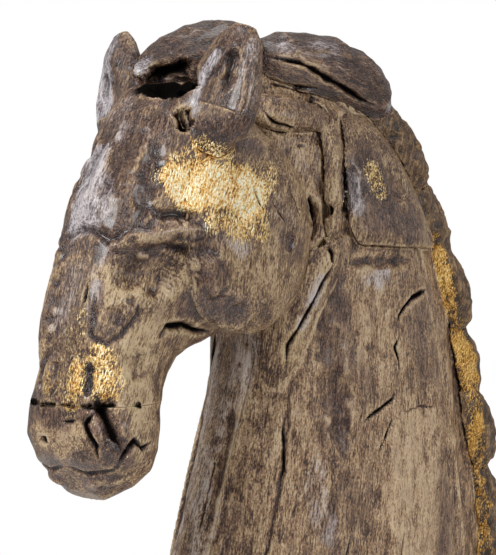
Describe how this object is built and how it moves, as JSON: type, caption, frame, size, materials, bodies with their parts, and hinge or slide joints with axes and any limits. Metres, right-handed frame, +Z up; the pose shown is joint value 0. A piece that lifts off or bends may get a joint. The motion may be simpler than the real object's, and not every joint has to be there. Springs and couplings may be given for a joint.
{
  "type": "carved wooden horse bust",
  "caption": "Carved wooden horse head and arched neck, turned and tucked, with worn gold leaf, on a flat base board; a free-standing figurine.",
  "frame": {"origin": "middle of the underside of the foot of the neck, on the surface the bust stands on", "axes": "+Z up; the horse faces -Y; its left side is +X, and its head is turned to that side"},
  "size_m": [0.1153, 0.3159, 0.3648],
  "materials": {
    "felt": "dark green wool felt, glued",
    "base_wood": "dark stained, waxed, edges rubbed",
    "screw_steel": "zinc plated",
    "dowel_wood": "bare turned beech",
    "neck_wood": "wire-brushed, brown stain in the grain, waxed",
    "head_wood": "wire-brushed, purple-brown stain, silver-grey rubbed highlights, gold leaf on the nose",
    "cheek_wood": "wire-brushed, worn gold leaf over the temple",
    "ear_wood": "dark stained, pale speckle in the hollow, grey rims",
    "hair_wood": "dark brown stain, waxed",
    "strip_wood": "wire-brushed, light brown",
    "mane_gilt": "bronze-brown stain with gold leaf rubbed on the crests"
  },
  "bodies": {
    "root": {"felt_pad": "felt", "base_board": "base_wood", "base_screws": "screw_steel", "neck_centre_board": "neck_wood", "neck_left_board": "neck_wood", "neck_right_board": "neck_wood", "board_dowels": "dowel_wood", "head_dowels": "dowel_wood", "skull": "head_wood", "muzzle": "head_wood", "muzzle_dowels": "dowel_wood", "cheek_left": "cheek_wood", "cheek_right": "cheek_wood", "cheek_pins": "dowel_wood", "ear_left": "ear_wood", "ear_right": "ear_wood", "ear_pins": "dowel_wood", "forelock": "hair_wood", "crest_lock": "hair_wood", "poll_lobe_left": "hair_wood", "poll_lobe_right": "hair_wood", "side_strand_left": "strip_wood", "side_strand_right": "strip_wood", "nape_slab_left": "strip_wood", "nape_slab_right": "strip_wood", "throat_strip_left": "strip_wood", "throat_strip_right": "strip_wood", "mane_curl_1": "mane_gilt", "mane_curl_2": "mane_gilt", "mane_curl_3": "mane_gilt", "mane_curl_4": "mane_gilt", "mane_curl_5": "mane_gilt", "mane_curl_6": "mane_gilt", "mane_curl_7": "mane_gilt", "mane_curl_8": "mane_gilt", "mane_pins": "dowel_wood"}
  },
  "joints": []
}
